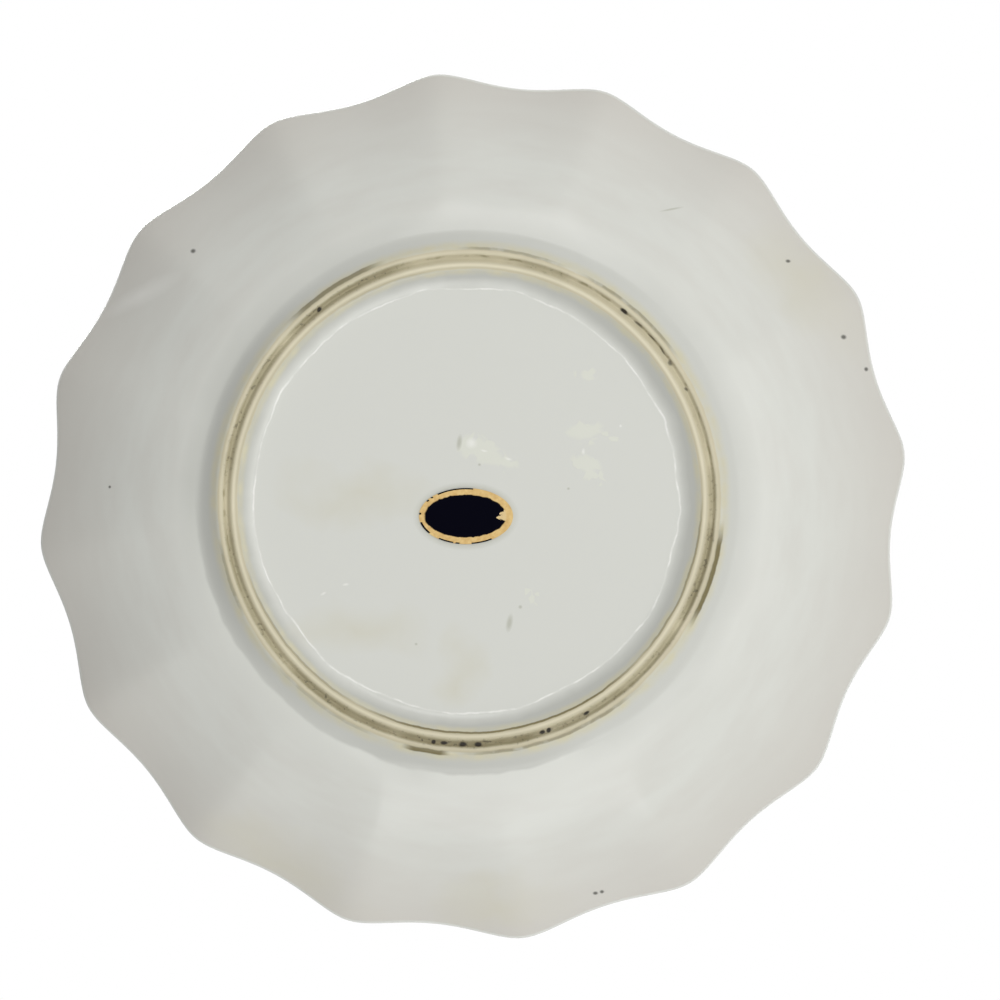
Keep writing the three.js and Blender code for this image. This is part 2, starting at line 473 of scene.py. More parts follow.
# Grey dirt; the first entry is a painted shadow along the left edge of the dried glue
SMEARS = (
    (-2.1, -12.3, 0.7, 2.0, 8.0), (8.6, 26.0, 0.8, 2.2, 10.0), (10.9, 22.6, 0.5, 0.5, 0.0),
    (2.2, -7.6, 0.4, 0.35, 0.0), (21.1, -2.5, 0.4, 0.35, 0.0), (-11.2, 30.5, 0.4, 0.35, 0.0),
    (43.3, -63.0, 3.0, 0.3, -13.0),
)
SPECKS = (
    (-60.4, -54.5, 0.75, 0.65, 0.0), (68.7, -52.4, 0.7, 0.5, 0.0), (80.7, -35.9, 0.8, 0.65, 0.0),
    (85.8, -29.1, 0.6, 0.6, 0.0), (26.9, 84.5, 0.7, 0.5, 0.0), (28.3, 84.2, 0.6, 0.5, 0.0),
    (-78.1, -3.2, 0.4, 0.4, 0.0),
)
OVAL_DEPTH = 1000.0  # the ovals reach right through the plate

# Dirt along the foot: each stretch has its middle and half length, in degrees from the right towards the
# bottom of the picture, and its strength
GROOVE_DIRT = (
    (-1.0, 8.0, 0.45), (-20.0, 9.0, 0.2), (-72.0, 8.0, 0.4), (-121.0, 20.0, 0.8), (-158.0, 22.0, 0.6),
    (156.0, 24.0, 0.55), (122.0, 20.0, 0.85), (90.0, 24.0, 1.0), (60.0, 15.0, 0.65), (42.0, 12.0, 0.5),
    (17.0, 15.0, 0.8),
)
INNER_DIRT = ((-112.0, 16.0, 0.2), (140.0, 26.0, 0.45), (80.0, 44.0, 1.0), (22.0, 26.0, 0.6))
OUTER_DIRT = (
    (-49.0, 16.0, 0.6), (-80.0, 14.0, 0.5), (162.0, 10.0, 0.45), (125.0, 16.0, 0.3), (70.0, 25.0, 0.7),
)
CAKED_DIRT = ((99.6, 6.0, 1.0), (17.8, 13.5, 1.0), (-122.5, 14.0, 0.8))

# Sizes of the patterns, in millimetres
TEAR = 3.2  # ragged edges of the glaze and the dirt
SHARD = 1.7  # chips of dried glue
CLOUD = 16.0  # vague rims of the stains
BROAD = 14.0  # wandering edges of the pooled glaze
SHORT = 4.0  # clumps of dirt along the foot
GRAIN = 0.9  # pores and grit of the clay
PEEL = 5.0  # orange peel in the glaze
WHEEL_MARK = (15.0, 4.0)  # along and across

# How far the patterns shift an edge or a place, in millimetres
TORN_EDGE = 0.15
WANDER = 1.5
RAGGED_REACH = 1.2
CHIPPED_REACH = 1.8
VAGUE_REACH = 20.0

# Where a layer goes from nothing to full, in millimetres out from the named place
# Painted shade on the foot's sides and in the hollow outside the foot
SOFT_SHADE = (4.5, -1.5)  # from the flank's start
CRISP_SHADE = (0.3, -0.3)  # from the flank's start
INNER_SHADE = (-0.1, 2.4)  # from the recess corner
INNER_CLAY = (0.15, 0.45)  # from the foot's inner side
OUTER_CLAY = (-0.35, -0.65)  # from the foot's outer side
INNER_FILM = (1.25, 2.7)  # from the foot's inner side
OUTER_FILM = (-1.0, -1.9)  # from the foot's outer side
WHEEL_START = 8.0  # from the flank's start, where nothing shows yet

# Lines: middle in millimetres out from the named place, half width, and share of it at full strength
# A painted highlight along the recess corner
CORNER_HIGHLIGHT = (-0.15, 0.32, 0.0)  # from the recess corner
GROOVE_THREAD = (0.3, 0.4, 0.0)  # from the groove's middle
INNER_HALO = (-0.1, 1.1, 0.0)  # from the foot's inner side
OUTER_HALO = (0.2, 1.9, 0.0)  # from the foot's outer side
INNER_LINE = (0.35, 0.32, 0.3)  # from the foot's inner side
OUTER_LINE = (-0.3, 0.5, 0.3)  # from the foot's outer side
CAKED_LINE = (-0.08, 0.65, 0.5)  # from the foot's outer side
CREST_LINE = (0.0, 0.65, 0.0)  # from the middle of a ridge's land

GROOVE_MIDDLE = 0.56  # share of the foot's width
RIM_START = 0.78  # share of the plate's radius, where the colour starts to darken and yellow towards the rim
LABEL_FRINGE = 1.4  # width of the dirt and painted shadow round the label, in millimetres
PEEL_HEIGHT = 0.04 * MM
GLOSS = 0.16  # roughness of the glaze
DULLNESS = 0.6  # roughness of the bare clay


def marks(add, place, ovals, rim, strength, elsewhere=0.0):
    """A mask of some strength inside each oval, which fades out over a rim, as a share of the oval."""
    spots = []
    for x, y, half_length, half_width, turn in ovals:
        oval = add("ShaderNodeMapping", {"Vector": place, "Location": (x, y, 0.0),
                                         "Rotation": (0.0, 0.0, math.radians(turn)),
                                         "Scale": (half_length, half_width, OVAL_DEPTH)},
                   vector_type="TEXTURE")
        spot = add("ShaderNodeTexGradient", {"Vector": oval}, gradient_type="SPHERICAL")
        spots.append(spot.outputs["Fac"])
    return add(RANGE, (strongest(add, spots), 0.0, rim, elsewhere, strength))


def stray(add, place, pattern, reach):
    """Places shifted to and fro by a pattern's colour, by up to half of the reach."""
    shifted = add(VECTOR, (pattern, (reach, reach, 0.0), place), "MULTIPLY_ADD")
    return add(VECTOR, (shifted, (-reach / 2, -reach / 2, 0.0)), "ADD")


def band(add, distance, start, line):
    """A mask that is 1 along a line, over the share of it at full strength, and fades to 0 on both sides."""
    middle, half_width, core = line
    offset = add(MATH, (distance, start + middle), "SUBTRACT")
    away = add(MATH, (offset,), "ABSOLUTE")
    return add(RANGE, (away, half_width, core * half_width), interpolation_type="SMOOTHSTEP")


def bearing(add, place):
    """Degrees round the axis, from the first towards the second axis of the places."""
    sides = add("ShaderNodeSeparateXYZ", (place,)).outputs
    turn = add(MATH, (sides["Y"], sides["X"]), "ARCTAN2")
    return add(MATH, (turn,), "DEGREES")


def stretches(add, degrees, spans):
    """A mask along stretches round the axis, each with its middle, its half length and its strength."""
    dirt = []
    for middle, half_length, strength in spans:
        there = band(add, degrees, 0.0, (middle, half_length, 0.5))
        dirt.append(add(MATH, (there, strength), "MULTIPLY"))
    return strongest(add, dirt)


def underside_map(add, settings):
    """What the underside's layers are drawn from: radii, places and distances in millimetres in the picture's
    axes, and patchy patterns."""
    sizes = settings.sizes
    outer = sizes.foot_diameter / 2 / MM
    inner = outer - sizes.foot_width / MM
    corner = inner - side_run(sizes, sizes.recess_depth) / MM
    hollow = outer + side_run(sizes, sizes.underside_height) / MM

    # Places, and the same made ragged for dirt, chipped for glue and vague for stains
    coords = add("ShaderNodeTexCoord").outputs["Object"]
    place = add("ShaderNodeMapping", {"Vector": coords, "Rotation": (0.0, 0.0, settings.label.turn),
                                      "Scale": (MM, MM, MM)}, vector_type="TEXTURE")
    tear = add(NOISE, {"Vector": place, "Scale": 1 / TEAR, "Detail": 4.0}).outputs["Color"]
    shards = add("ShaderNodeTexVoronoi", {"Vector": place, "Scale": 1 / SHARD}).outputs["Color"]
    clouds = add(NOISE, {"Vector": place, "Scale": 1 / CLOUD, "Detail": 3.0}).outputs["Color"]
    ragged = stray(add, place, tear, RAGGED_REACH)

    # Distances from the axis, with a ragged edge for the glaze and the dirt
    flat = add(VECTOR, (place, (1.0, 1.0, 0.0)), "MULTIPLY")
    radius = add(VECTOR, (flat,), "LENGTH")
    shred = add(RANGE, (tear, 0.3, 0.7, -TORN_EDGE, TORN_EDGE))

    # The recess floor lies off the axis, and the corners beside the foot's sides wander
    broad = add(NOISE, {"Vector": place, "Scale": 1 / BROAD, "Detail": 3.0})
    wander = add(RANGE, (broad, 0.0, 1.0, -WANDER, WANDER))
    drift = picture_axes(settings).inverted() @ Vector(sizes.recess_drift) / MM
    from_floor = add(VECTOR, (flat, drift), "SUBTRACT")
    reach = add(VECTOR, (from_floor,), "LENGTH")
    strayed = add(MATH, (reach, wander), "ADD")

    return SimpleNamespace(
        outer=outer, inner=inner, corner=corner, hollow=hollow,
        groove=inner + GROOVE_MIDDLE * sizes.foot_width / MM,
        crest=(sizes.ridge_round + sizes.ridge_land / 2) / MM,
        rim=sizes.diameter / 2 / MM,
        place=place, flat=flat, ragged=ragged, radius=radius,
        chipped=stray(add, place, shards, CHIPPED_REACH),
        vague=stray(add, place, clouds, VAGUE_REACH),
        edge=add(MATH, (radius, shred), "ADD"),
        in_recess=add(MATH, (strayed, shred), "ADD"),
        outside=add(MATH, (radius, wander), "ADD"),
        degrees=bearing(add, ragged),
        short=add(NOISE, {"Vector": place, "Scale": 1 / SHORT, "Detail": 4.0}),
        grain=add(NOISE, {"Vector": place, "Scale": 1 / GRAIN, "Detail": 2.0}),
    )


def strip(add, under, inner_fade, outer_fade, ease="LINEAR"):
    """A mask that is 1 between two edges, which lie beside the foot's inner and its outer side."""
    fades = []
    for side, (start, end) in ((under.inner, inner_fade), (under.outer, outer_fade)):
        fades.append(add(RANGE, (under.edge, side + start, side + end), interpolation_type=ease))
    return add(MATH, (fades[0], fades[1]), "MULTIPLY")


def wheel_marks(add, under):
    """Faint wheel marks on the flank: noise that changes fast outwards and slowly round the axis."""
    along, across = WHEEL_MARK
    slow = add(VECTOR, (under.flat, (1 / along, 1 / along, 0.0)), "MULTIPLY")
    fast = add(MATH, (under.radius, 1 / across), "MULTIPLY")
    ringed = add("ShaderNodeCombineXYZ", {"Z": fast})
    round_axis = add(VECTOR, (slow, ringed), "ADD")
    streaks = add(NOISE, {"Vector": round_axis, "Scale": 1.0, "Detail": 3.0})
    on_flank = add(RANGE, (under.radius, under.hollow, under.hollow + WHEEL_START, 0.0, 0.26))
    return add(RANGE, (streaks, 0.35, 0.65, 0.0, on_flank))


def foot_shade_paint(add, under):
    """Painted shade on the foot's sides, with a crisp edge in places and a soft one elsewhere."""
    starts = []
    for start, end in (SOFT_SHADE, CRISP_SHADE):
        starts.append(add(RANGE, (under.outside, under.hollow + start, under.hollow + end)))
    soft, crisp = starts
    crisp_there = marks(add, under.place, CRISP_SHADE_PLACES, 0.5, 1.0)
    started = add(MIX, {0: crisp_there, 2: soft, 3: crisp}, data_type="FLOAT")
    deeper_shade = marks(add, under.place, DEEP_SHADE_PLACES, 0.5, 0.67, 0.44)
    outer_shade = add(MATH, (started, deeper_shade), "MULTIPLY")
    # The painted shade inside the foot is deeper on the left
    across = add("ShaderNodeSeparateXYZ", (under.place,)).outputs["X"]
    shade_weight = add(RANGE, (across, -under.corner, under.corner, 0.88, 0.63))
    inner_shade = add(RANGE, (under.in_recess, under.corner + INNER_SHADE[0], under.corner + INNER_SHADE[1],
                             0.0, shade_weight))
    past_groove = add(MATH, (under.radius, under.groove), "GREATER_THAN")
    return add(MIX, {0: past_groove, 2: inner_shade, 3: outer_shade}, data_type="FLOAT")


def yellowed_glaze(add, under):
    """Yellowed glaze on both sides of the foot."""
    beside = strongest(add, (band(add, under.edge, under.outer, OUTER_HALO),
                             band(add, under.edge, under.inner, INNER_HALO)))
    uneven = add(RANGE, (under.short, 0.35, 0.65, 0.35))
    return add(MATH, (beside, uneven), "MULTIPLY")


def corner_highlight(add, under):
    """A painted highlight: the pale, broken line in the corner of the recess."""
    line = band(add, under.in_recess, under.corner, CORNER_HIGHLIGHT)
    broken = add(RANGE, (under.short, 0.4, 0.6, 0.2, 0.95))
    return add(MATH, (line, broken), "MULTIPLY")


def bare_clay(add, under):
    """The clay between ragged glaze edges, and its two crests, rubbed pale and with a painted highlight."""
    bare = strip(add, under, INNER_CLAY, OUTER_CLAY)
    inner_crest = band(add, under.radius, under.inner + under.crest, CREST_LINE)
    outer_crest = band(add, under.radius, under.outer - under.crest, CREST_LINE)
    # The outer crest's painted highlight is fainter
    fainter = add(MATH, (outer_crest, 0.5), "MULTIPLY")
    return bare, strongest(add, (fainter, inner_crest))


def groove_grime(add, under):
    """A film of grime from ridge to ridge with a thread along the groove, and soot in the pores and pits."""
    heavy = stretches(add, under.degrees, GROOVE_DIRT)
    patchy = add(RANGE, (under.short, 0.36, 0.64))
    load = add(MATH, (patchy, 0.1), "MULTIPLY")
    loaded = add(MATH, (heavy, 0.68, load), "MULTIPLY_ADD")
    film = strip(add, under, INNER_FILM, OUTER_FILM, "SMOOTHSTEP")
    filmed = add(MATH, (film, loaded), "MULTIPLY")
    dashed = add(RANGE, (under.short, 0.46, 0.58, 0.0, 0.6))
    line = band(add, under.edge, under.groove, GROOVE_THREAD)
    thread = add(MATH, (line, dashed), "MULTIPLY")
    handled = add(MATH, (heavy, 0.12, 0.03), "MULTIPLY_ADD")

    pore = add(RANGE, (under.grain, 0.58, 0.7, 0.0, 0.7))
    in_groove = add(MATH, (pore, film), "MULTIPLY")
    filled = add(MATH, (in_groove, heavy), "MULTIPLY")
    pit = marks(add, under.ragged, POROUS_DOTS, 0.45, 1.0)
    faint = marks(add, under.ragged, FAINT_DOTS, 0.6, 0.7)
    return strongest(add, (filmed, thread, handled)), strongest(add, (filled, pit, faint))


def edge_dirt(add, under):
    """Dirty lines where the glaze ends, thin inside the foot, and clumped or caked outside it."""
    lines = ((under.inner, INNER_LINE, INNER_DIRT), (under.outer, OUTER_LINE, OUTER_DIRT),
             (under.outer, CAKED_LINE, CAKED_DIRT))
    thin, ragged, caked = [
        add(MATH, (band(add, under.edge, start, line), stretches(add, under.degrees, spans)), "MULTIPLY")
        for start, line, spans in lines]
    clumps = add(RANGE, (under.short, 0.36, 0.5, 0.45))
    clumped = add(MATH, (ragged, clumps), "MULTIPLY")
    return strongest(add, (thin, clumped, caked))


def label_dirt_and_shadow(add, under, settings):
    """Dirt and a painted contact shadow round the label."""
    middle = picture_axes(settings).inverted() @ LABEL_MIDDLE / MM
    oval = (middle.x, middle.y, settings.label.length / 2 / MM + LABEL_FRINGE,
            settings.label.width / 2 / MM + LABEL_FRINGE, 0.0)
    return marks(add, under.place, (oval,), 0.14, 0.6)


def glazed_porcelain(settings):
    """Clear glossy glaze fired over white porcelain, wiped off the foot ring, which has taken up grime in
    use. The eye sees an even, slightly grey white with a soft gloss, and cream ridges with a dark line
    between."""
    colours = settings.colours
    material, add = new_material("glazed_porcelain")
    under = underside_map(add, settings)
    to_rim = add(RANGE, (under.radius, RIM_START * under.rim, under.rim))
    bare, crests = bare_clay(add, under)
    grime, soot = groove_grime(add, under)
    grimy = add(MATH, (grime, bare), "MULTIPLY")

    # Marks with soft and with sharp rims
    yellow = marks(add, under.vague, STAINS, 1.0, 0.45)
    # A painted highlight along one flute
    flute_highlight = marks(add, under.ragged, FLUTE_HIGHLIGHTS, 1.0, 0.35)
    glue = marks(add, under.chipped, RESIDUES, 0.3, 0.5)
    # The first smear is a painted shadow beside the dried glue; the rest are dirt
    grey = marks(add, under.place, SMEARS, 0.7, 0.9)
    # Glints are painted highlights
    painted_glints = marks(add, under.ragged, GLINTS, 0.8, 0.6)
    specked = marks(add, under.place, SPECKS, 0.6, 0.85)

    # The layers from the glaze up, on the underside alone
    layers = (
        (wheel_marks(add, under), colours.rim), (to_rim, colours.rim),
        (foot_shade_paint(add, under), colours.pool), (yellow, colours.stain), (flute_highlight, colours.corner),
        (yellowed_glaze(add, under), colours.halo), (corner_highlight(add, under), colours.corner),
        (bare, colours.clay), (crests, colours.crest),
        (grimy, colours.grime), (edge_dirt(add, under), colours.grime), (soot, colours.soot),
        (label_dirt_and_shadow(add, under, settings), colours.smear), (glue, colours.residue), (grey, colours.smear),
        (painted_glints, colours.corner), (specked, colours.speck),
    )
    used = colours.glaze
    for mask, layer in layers:
        used = add(MIX, {0: mask, 6: used, 7: layer}, data_type="RGBA")
    side = add("ShaderNodeAttribute", attribute_name="underside").outputs["Fac"]
    both_sides = add(MIX, {0: side, 6: colours.glaze, 7: used}, data_type="RGBA")

    # Clay and grime are dull, glue is satin and the rest has the glaze's gloss
    satin = add(MATH, (glue, 0.5), "MULTIPLY")
    dull = add(MATH, (strongest(add, (satin, bare)), side), "MULTIPLY")
    rough = add(RANGE, (dull, 0.0, 1.0, GLOSS, DULLNESS))

    # Faint orange peel in the glaze, grain in the clay, and the thickness of the glue
    peel = add(NOISE, {"Vector": under.place, "Scale": 1 / PEEL, "Detail": 1.0})
    gritty = add(MATH, (under.grain, dull, peel), "MULTIPLY_ADD")
    raised = add(MATH, (glue, 1.5, gritty), "MULTIPLY_ADD")
    relief = add("ShaderNodeBump", {"Strength": 0.5, "Distance": PEEL_HEIGHT, "Height": raised})

    shader = add("ShaderNodeBsdfPrincipled", {"Base Color": both_sides, "Roughness": rough, "Normal": relief,
                                              "IOR": 1.5})
    add("ShaderNodeOutputMaterial", {"Surface": shader})
    return material


class PLATE_OT_body(bpy.types.Operator):
    """Builds the glazed porcelain body"""

    bl_idname = "plate.body"
    bl_label = "Porcelain Body"

    def execute(self, context):
        settings = context.scene.scalloped_plate
        sizes = settings.sizes
        section, underside_points = plate_section(sizes)
        mesh = bpy.data.meshes.new("plate_section")
        edges = [(i, i + 1) for i in range(len(section) - 1)]
        mesh.from_pydata([(radius, 0.0, height) for radius, height in section], edges, [])
        plate = bpy.data.objects.new("porcelain_plate", mesh)
        context.collection.objects.link(plate)
        tree, names = plate_tree()
        modifier = plate.modifiers.new("Scallops", "NODES")
        modifier.node_group = tree
        foot_inner = sizes.foot_diameter / 2 - sizes.foot_width
        lip_slope_run = sizes.lip_thickness / 2 * math.sin(sizes.lip_slope)
        inputs = {
            "Steps Around": sizes.steps_around,
            "Underside Points": underside_points,
            "Scallops": sizes.scallops,
            "Scallop Depth": sizes.scallop_depth,
            "Scallop Spread": sizes.scallop_spread,
            "Lip Softness": sizes.lip_softness,
            "Crease Softness": sizes.crease_softness,
            "Flank Radius": sizes.foot_diameter / 2 + side_run(sizes, sizes.underside_height),
            "Lip Radius": lip_centre(sizes)[0] - lip_slope_run,
            "Recess Radius": foot_inner - side_run(sizes, sizes.recess_depth),
            "Foot Inner Radius": foot_inner,
            "Recess Drift": sizes.recess_drift,
            "Firing Warp": sizes.firing_warp,
            "Glaze": glazed_porcelain(settings),
        }
        for name, value in inputs.items():
            modifier[names[name]] = value
        evaluated = plate.evaluated_get(context.evaluated_depsgraph_get())
        plate.data = bpy.data.meshes.new_from_object(evaluated)
        plate.modifiers.remove(modifier)
        finish_piece(plate, "plate_body")
        return {"FINISHED"}


# Foil label

LABEL_RINGS = 12
LABEL_STEPS = 160

# Where the dark border line is left along the label's edge: middle and half length, in degrees round the oval
BORDER_LEFTOVERS = ((-104.5, 23.5), (-137.5, 1.5), (-146.0, 2.0), (-175.0, 2.0), (154.5, 12.5), (116.0, 10.0),
                    (100.5, 2.5), (69.5, 13.5))
BORDER_START = 0.955  # share of the way from the label's middle to its edge

# Wear of the dark field and sizes of its patterns, in millimetres
FIELD_SHIFT = (-0.1, 0.0, 0.0)  # the dark oval was blocked a little to the left
NOTCH_TIP = (6.4, 0.2)  # where the lacquer has worn back to from the right-hand end
NOTCH_SLOPES = (-0.6, 0.48)  # of the notch's upper and lower edges
NICK = 0.9  # uneven edges of the lacquer
NICK_REACH = 0.5
CRUMB = 0.7  # torn edges of the notch
CRUMB_REACH = 0.8
MOTTLE = 0.8  # grain of the paper under the foil
MOTTLE_HEIGHT = 0.03 * MM


def label_place(settings):
    """Turns the label's own frame, with its long axis on X, to where the solid model has the label."""
    shift = Matrix.Translation((LABEL_MIDDLE.x, LABEL_MIDDLE.y, 0.0))
    return shift @ Matrix.Rotation(settings.label.turn, 4, "Z")


def worn_foil(settings):
    """Gold foil on paper with a dark lacquered field, blocked in one pass. The eye sees a satin gold border
    round a near black oval, with the lacquer worn through to the foil at one end and left in dashes along
    the edge."""
    colours = settings.colours
    label = settings.label
    material, add = new_material("worn_gold_foil")

    # Places in millimetres along the label's own axes, with its edges a little uneven
    coords = add("ShaderNodeTexCoord").outputs["Object"]
    shift, turn, _ = label_place(settings).decompose()
    place = add("ShaderNodeMapping", {"Vector": coords, "Location": shift, "Rotation": turn.to_euler(),
                                      "Scale": (MM, MM, MM)}, vector_type="TEXTURE")
    nick = add(NOISE, {"Vector": place, "Scale": 1 / NICK, "Detail": 3.0}).outputs["Color"]
    uneven = stray(add, place, nick, NICK_REACH)

    # The dark field
    field_scale = (2 * MM / label.field_length, 2 * MM / label.field_width, 0.0)
    in_field = add(VECTOR, (uneven, FIELD_SHIFT), "SUBTRACT")
    oval = add(VECTOR, (in_field, field_scale), "MULTIPLY")
    field = add(VECTOR, (oval,), "LENGTH")
    dark = add(RANGE, (field, 1.015, 0.985))

    # The notch worn into it: between two straight edges that open from its tip to the right
    crumbs = add("ShaderNodeTexVoronoi", {"Vector": place, "Scale": 1 / CRUMB}).outputs["Color"]
    torn = stray(add, uneven, crumbs, CRUMB_REACH)
    axes = add("ShaderNodeSeparateXYZ", (torn,)).outputs
    along = add(MATH, (axes["X"], NOTCH_TIP[0]), "SUBTRACT")
    across = add(MATH, (axes["Y"], NOTCH_TIP[1]), "SUBTRACT")
    upper = add(MATH, (along, NOTCH_SLOPES[0]), "MULTIPLY")
    lower = add(MATH, (along, NOTCH_SLOPES[1]), "MULTIPLY")
    under_upper = add(MATH, (across, upper), "GREATER_THAN")
    over_lower = add(MATH, (across, lower), "LESS_THAN")
    notch = add(MATH, (under_upper, over_lower), "MULTIPLY")
    kept = add(MATH, (1.0, notch), "SUBTRACT")
    lacquered = add(MATH, (dark, kept), "MULTIPLY")

    # What is left of a dark line along the edge
    label_scale = (2 * MM / label.length, 2 * MM / label.width, 0.0)
    whole = add(VECTOR, (place, label_scale), "MULTIPLY")
    border = add(VECTOR, (whole,), "LENGTH")
    degrees = bearing(add, whole)
    dashes = [add(MATH, (degrees, middle, half), "COMPARE") for middle, half in BORDER_LEFTOVERS]
    outermost = add(MATH, (border, BORDER_START), "GREATER_THAN")
    lined = add(MATH, (strongest(add, dashes), outermost), "MULTIPLY")
    black = strongest(add, (lined, lacquered))

    # The foil is mottled by the paper's grain, and rubbed pale in the notch
    mottle = add(NOISE, {"Vector": place, "Scale": 1 / MOTTLE, "Detail": 4.0})
    tarnish = add(RANGE, (mottle, 0.35, 0.65))
    foil = add(MIX, {0: tarnish, 6: colours.gold, 7: colours.tarnish}, data_type="RGBA")
    rubbed = add(MATH, (notch, dark), "MULTIPLY")
    bare = add(MATH, (rubbed, 0.6), "MULTIPLY")
    worn = add(MIX, {0: bare, 6: foil, 7: colours.rubbed}, data_type="RGBA")
    face = add(MIX, {0: black, 6: worn, 7: colours.lacquer}, data_type="RGBA")
    metal = add(RANGE, (black, 0.0, 1.0, 0.6, 0.0))
    satin = add(RANGE, (black, 0.0, 1.0, 0.42, 0.28))
    grain = add("ShaderNodeBump", {"Strength": 0.3, "Distance": MOTTLE_HEIGHT, "Height": mottle})

    shader = add("ShaderNodeBsdfPrincipled", {"Base Color": face, "Metallic": metal, "Roughness": satin,
                                              "Normal": grain, "Specular IOR Level": 0.02})
    add("ShaderNodeOutputMaterial", {"Surface": shader})
    return material


class PLATE_OT_label(bpy.types.Operator):
    """Builds the oval foil label inside the foot"""

    bl_idname = "plate.label"
    bl_label = "Foil Label"

    def execute(self, context):
        settings = context.scene.scalloped_plate
        label = settings.label
        high = settings.sizes.recess_depth
        low = high - label.thickness
        work = bmesh.new()
        back = [work.verts.new((label.length / 2 * math.cos(a), label.width / 2 * math.sin(a), high))
                for a in (2 * math.pi * i / LABEL_STEPS for i in range(LABEL_STEPS))]
        rings = [back]
        for ring in range(LABEL_RINGS):
            share = 1 - ring / LABEL_RINGS
            rings.append([work.verts.new((v.co.x * share, v.co.y * share, low)) for v in back])
        for outside, inside in zip(rings, rings[1:]):
            for i in range(LABEL_STEPS):
                j = (i + 1) % LABEL_STEPS
                work.faces.new((outside[i], inside[i], inside[j], outside[j]))
        work.faces.new(rings[-1])
        work.faces.new(back)
        bmesh.ops.recalc_face_normals(work, faces=work.faces)
        mesh = bpy.data.meshes.new("foil_label_fine")
        work.to_mesh(mesh)
        work.free()
        mesh.transform(label_place(settings))
        mesh.materials.append(worn_foil(settings))
        piece = bpy.data.objects.new("foil_label_fine", mesh)
        context.collection.objects.link(piece)
        finish_piece(piece, "foil_label")
        return {"FINISHED"}


# Stage

# Directions of the lamps in the picture's axes, right, down and away from the camera, their levels, their
# sides in metres, and whether they show in reflections
LAMPS = {
    "front_below": ((0.0, 0.0, -1.0), 0.13, 0.7, False),
    "right_near_below": ((1.0, 0.0, -1.73), 0.11, 0.7, True),
    "upper_near_below": ((0.15, -1.0, -1.4), 0.21, 0.7, False),
    "upper_panel_below": ((0.1, -1.0, -1.5), 0.09, 0.42, True),
    "lower_near_below": ((0.15, 1.0, -1.4), 0.18, 0.7, True),
    "upper_right_below": ((0.7, -0.7, -0.6), 0.345, 1.2, False),
    "lower_right_below": ((0.7, 0.7, -0.6), 0.26, 1.2, False),
    "upper_side_below": ((0.1, -1.0, -0.27), 0.18, 1.2, False),
    "lower_side_below": ((-0.06, 1.0, -0.27), 0.51, 1.2, False),
    "key_above": ((-0.6, -0.8, 0.8), 0.75, 0.6, True),
    "fill_above": ((1.0, 0.3, 0.9), 0.2, 1.0, True),
}
AIM = Vector((6.1, -0.67, 19.0)) * MM  # the point at the picture's centre, in the picture's axes
LEAN = Vector((0.028, 0.035))  # how far the camera stands off to the right and down, as slopes
NEAREST_SEEN = 0.01  # metres from the camera
FLOOR_FADE = (0.08, 0.4)  # where the floor starts to fade and is gone, as shares of its size
HORIZON = 0.3  # height of a direction above or below level at which the room's light is all from that side


def floor_material(settings):
    """A pale matt floor that fades out, and shows only from above, so that the plate is seen through it."""
    stage = settings.stage
    material, add = new_material("pale_floor")
    matt = add("ShaderNodeBsdfPrincipled", {"Base Color": stage.floor, "Roughness": 0.9,
                                            "Specular IOR Level": 0.0})
    clear = add("ShaderNodeBsdfTransparent")
    coords = add("ShaderNodeTexCoord").outputs["Object"]
    away = add(VECTOR, (coords,), "LENGTH")
    fade = add(RANGE, (away, FLOOR_FADE[0] * stage.floor_size, FLOOR_FADE[1] * stage.floor_size),
               interpolation_type="SMOOTHSTEP")
    below = add("ShaderNodeNewGeometry").outputs["Backfacing"]
    gone = strongest(add, (below, fade))
    mixed = add("ShaderNodeMixShader", (gone, matt, clear))
    add("ShaderNodeOutputMaterial", {"Surface": mixed})
    return material


def light_world(scene, settings):
    """White to the camera, in reflections and through glass, and a plain soft grey as light."""
    world = bpy.data.worlds.new("studio")
    world.use_nodes = True
    world.node_tree.nodes.clear()
    add = partial(add_node, world.node_tree)
    path = add("ShaderNodeLightPath").outputs
    shown = strongest(add, (path["Is Transmission Ray"], path["Is Glossy Ray"], path["Is Camera Ray"]))
    way = add("ShaderNodeTexCoord").outputs["Generated"]
    height = add("ShaderNodeSeparateXYZ", (way,)).outputs["Z"]
    soft = add(RANGE, (height, -HORIZON, HORIZON, settings.stage.ambient_below,
                       settings.stage.ambient_above))
    level = add(RANGE, (shown, 0.0, 1.0, soft, 1.0))
    light = add("ShaderNodeBackground", {"Color": (1.0, 1.0, 1.0, 1.0), "Strength": level})
    add("ShaderNodeOutputWorld", {"Surface": light})
    scene.world = world


def soft_lamp(context, name, direction, level, size, mirrored):
    """A square lamp that lights a white surface facing it to the given level, and may show in reflections."""
    distance = context.scene.scalloped_plate.stage.lamp_distance
    lamp = bpy.data.lights.new(name, "AREA")
    lamp.size = size
    lamp.energy = level * (math.pi * distance) ** 2
    place = Vector(direction).normalized()
    lamp_object = bpy.data.objects.new(name, lamp)
    lamp_object.location = place * distance
    lamp_object.rotation_euler = place.to_track_quat("Z", "Y").to_euler()
    lamp_object.visible_camera = False
    lamp_object.visible_glossy = mirrored
    context.collection.objects.link(lamp_object)


def plain_floor(context, settings):
    """The floor under the plate, which takes its shadow and sends no light back."""
    half = settings.stage.floor_size / 2
    mesh = bpy.data.meshes.new("floor")
    corners = [(-half, -half, 0.0), (half, -half, 0.0), (half, half, 0.0), (-half, half, 0.0)]
    mesh.from_pydata(corners, [], [(0, 1, 2, 3)])
    mesh.materials.append(floor_material(settings))
    floor = bpy.data.objects.new("floor", mesh)
    context.collection.objects.link(floor)
    floor.visible_diffuse = False
    floor.visible_glossy = False
    floor.visible_shadow = False


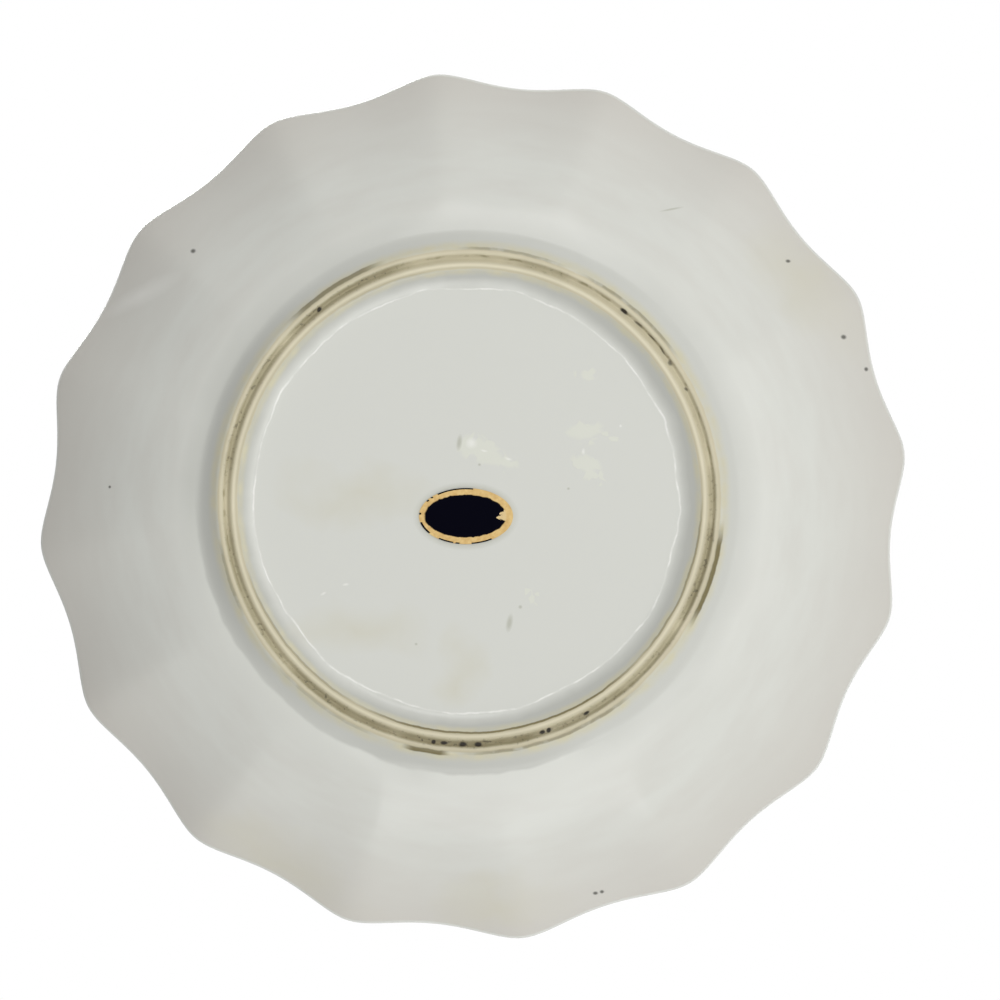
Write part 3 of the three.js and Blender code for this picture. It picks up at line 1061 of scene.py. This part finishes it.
def view_camera(context, settings):
    """The camera below the plate, which looks up at the underside as the photograph does."""
    stage = settings.stage
    picture = picture_axes(settings)
    lens = bpy.data.cameras.new("camera")
    lens.lens = lens.sensor_width * stage.view_distance / stage.view_width
    lens.clip_start = NEAREST_SEEN
    camera = bpy.data.objects.new("camera", lens)
    back = Vector((LEAN.x, LEAN.y, -1.0)).normalized()
    right = (Vector((1.0, 0.0, 0.0)) - back * back.x).normalized()
    axes = Matrix((right, back.cross(right), back)).transposed()
    place = AIM + back * stage.view_distance
    camera.matrix_world = Matrix.Translation(picture @ place) @ (picture @ axes).to_4x4()
    context.collection.objects.link(camera)
    context.scene.camera = camera


class PLATE_OT_stage(bpy.types.Operator):
    """Builds the floor, the lamps and the camera"""

    bl_idname = "plate.stage"
    bl_label = "Stage"

    def execute(self, context):
        scene = context.scene
        settings = scene.scalloped_plate
        plain_floor(context, settings)
        light_world(scene, settings)
        for name, (direction, level, size, mirrored) in LAMPS.items():
            soft_lamp(context, name, picture_axes(settings) @ Vector(direction), level, size, mirrored)
        view_camera(context, settings)
        scene.view_settings.view_transform = "Standard"
        return {"FINISHED"}


class PLATE_PT_panel(bpy.types.Panel):
    """Lists the plate's sizes, colours and pieces"""

    bl_label = "Scalloped Plate"
    bl_idname = "PLATE_PT_panel"
    bl_space_type = "VIEW_3D"
    bl_region_type = "UI"
    bl_category = "Plate"

    def draw(self, context):
        settings = context.scene.scalloped_plate
        for group in (settings.sizes, settings.label, settings.colours, settings.stage):
            box = self.layout.box()
            for name in group.__annotations__:
                box.prop(group, name)
        for operator in OPERATORS:
            self.layout.operator(operator.bl_idname)


OPERATORS = (PLATE_OT_body, PLATE_OT_label, PLATE_OT_stage)
GROUPS = (PlateSizes, LabelSizes, PlateColours, StageSettings, PlateSettings)
CLASSES = (*GROUPS, *OPERATORS, PLATE_PT_panel)


def register():
    for item in CLASSES:
        bpy.utils.register_class(item)
    bpy.types.Scene.scalloped_plate = PointerProperty(type=PlateSettings)


def unregister():
    del bpy.types.Scene.scalloped_plate
    for item in reversed(CLASSES):
        bpy.utils.unregister_class(item)


def main():
    register()
    bpy.ops.plate.body()
    bpy.ops.plate.label()
    bpy.ops.plate.stage()


if __name__ == "__main__":
    main()
